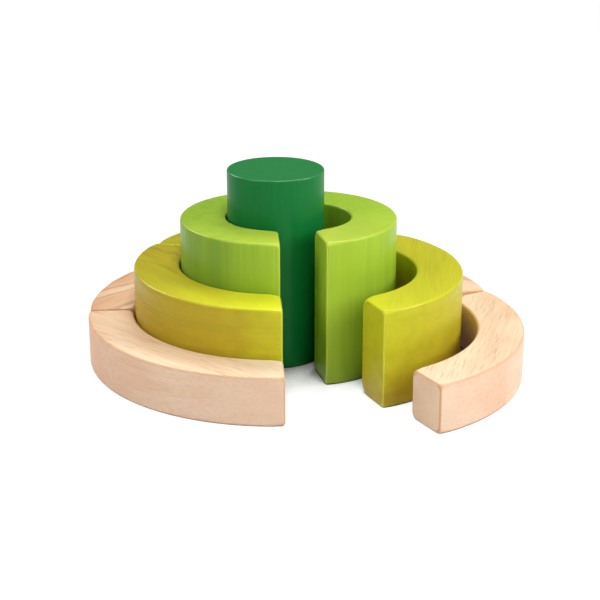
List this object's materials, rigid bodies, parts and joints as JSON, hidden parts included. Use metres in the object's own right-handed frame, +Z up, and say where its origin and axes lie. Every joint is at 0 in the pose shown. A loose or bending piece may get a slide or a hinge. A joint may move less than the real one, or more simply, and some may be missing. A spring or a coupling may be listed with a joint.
{
  "type": "wooden curved block set",
  "caption": "Nesting wooden block set: a tall cylinder ringed by stepped halves, thirds and quarters of round rings, closed on one side and swung open on the other.",
  "frame": {"origin": "centre of the cylinder's base, on the surface that every block stands on", "axes": "+Z up along the cylinder; +Y from the open front to the back; +X towards the side that is swung open"},
  "size_m": [0.2249, 0.2134, 0.1],
  "materials": {
    "dark_green_paint": "thin dark green stain, satin",
    "mid_green_paint": "thin leaf green stain, satin, grain showing",
    "yellow_green_paint": "thin yellow green stain, satin, grain showing",
    "natural_wood": "bare pale hardwood, sanded, clear oil"
  },
  "bodies": {
    "root": {"centre_cylinder": "dark_green_paint", "half_ring_left": "mid_green_paint", "half_ring_right": "mid_green_paint", "third_ring_left": "yellow_green_paint", "third_ring_back": "yellow_green_paint", "third_ring_right": "yellow_green_paint", "quarter_ring_front_left": "natural_wood", "quarter_ring_back_left": "natural_wood", "quarter_ring_back_right": "natural_wood", "quarter_ring_front_right": "natural_wood"}
  },
  "joints": []
}
